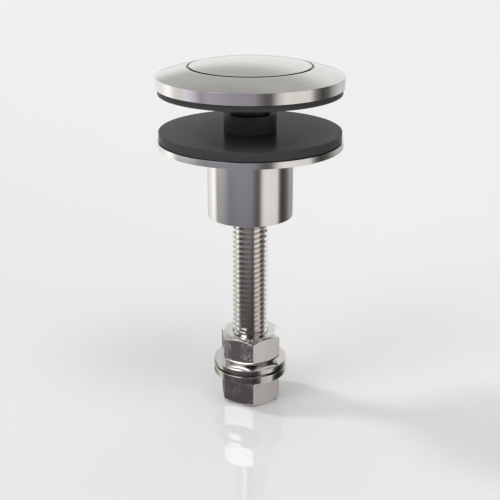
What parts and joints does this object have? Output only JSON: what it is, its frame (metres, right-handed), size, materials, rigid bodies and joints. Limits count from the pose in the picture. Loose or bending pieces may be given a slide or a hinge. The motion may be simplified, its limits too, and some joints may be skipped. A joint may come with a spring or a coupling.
{
  "type": "glass panel standoff",
  "caption": "Point fixing that grips a drilled glass panel between a domed clamp head and a gasketed flange, on a threaded stud with nuts and washers.",
  "frame": {"origin": "on the stud's axis, at the underside of the lower nut, where the part stands", "axes": "+Z along the stud towards the domed clamp head; -Y is the front"},
  "size_m": [0.06, 0.06, 0.1181],
  "materials": {
    "satin_steel": "satin turned stainless steel",
    "bright_steel": "bright rolled stainless steel",
    "gasket_rubber": "charcoal rubber with a satin face",
    "black_nylon": "black moulded nylon"
  },
  "bodies": {
    "standoff": {"rear_flange": "satin_steel", "threaded_stud": "bright_steel", "rear_gasket": "gasket_rubber", "spacer_sleeve": "black_nylon"},
    "head": {"clamp_disc": "satin_steel", "cover_cap": "satin_steel", "front_gasket": "gasket_rubber", "inner_bush": "black_nylon"},
    "screw": {"clamp_screw": "bright_steel"},
    "upper_grip": {"upper_washer": "bright_steel"},
    "upper_nut": {"upper_nut": "bright_steel"},
    "lower_grip": {"lower_washer": "bright_steel"},
    "lower_nut": {"lower_nut": "bright_steel"}
  },
  "joints": [
    {"name": "head_travel", "type": "slide", "parent": "standoff", "child": "head", "axis": [0, 0, 1], "range_m": [-0.006, 0.002]},
    {"name": "screw_turn", "type": "hinge", "parent": "head", "child": "screw", "pos_m": [0, 0, 0.0995], "axis": [0, 0, 1], "range_deg": [-1730, 578]},
    {"name": "upper_grip_travel", "type": "slide", "parent": "standoff", "child": "upper_grip", "axis": [0, 0, 1], "range_m": [0, 0.0415]},
    {"name": "upper_nut_turn", "type": "hinge", "parent": "upper_grip", "child": "upper_nut", "pos_m": [0, 0, 0.02], "axis": [0, 0, 1], "range_deg": [-2, 8539.2]},
    {"name": "lower_grip_travel", "type": "slide", "parent": "standoff", "child": "lower_grip", "axis": [0, 0, 1], "range_m": [-0.008, 0]},
    {"name": "lower_nut_turn", "type": "hinge", "parent": "lower_grip", "child": "lower_nut", "pos_m": [0, 0, 0.005], "axis": [0, 0, 1], "range_deg": [-1647.8, 2]}
  ],
  "couplings": [
    {"joint": "screw_turn", "follows": "head_travel", "rad_per_m": 5026.5},
    {"joint": "upper_nut_turn", "follows": "upper_grip_travel", "rad_per_m": 3590.4},
    {"joint": "lower_nut_turn", "follows": "lower_grip_travel", "rad_per_m": 3590.4}
  ]
}
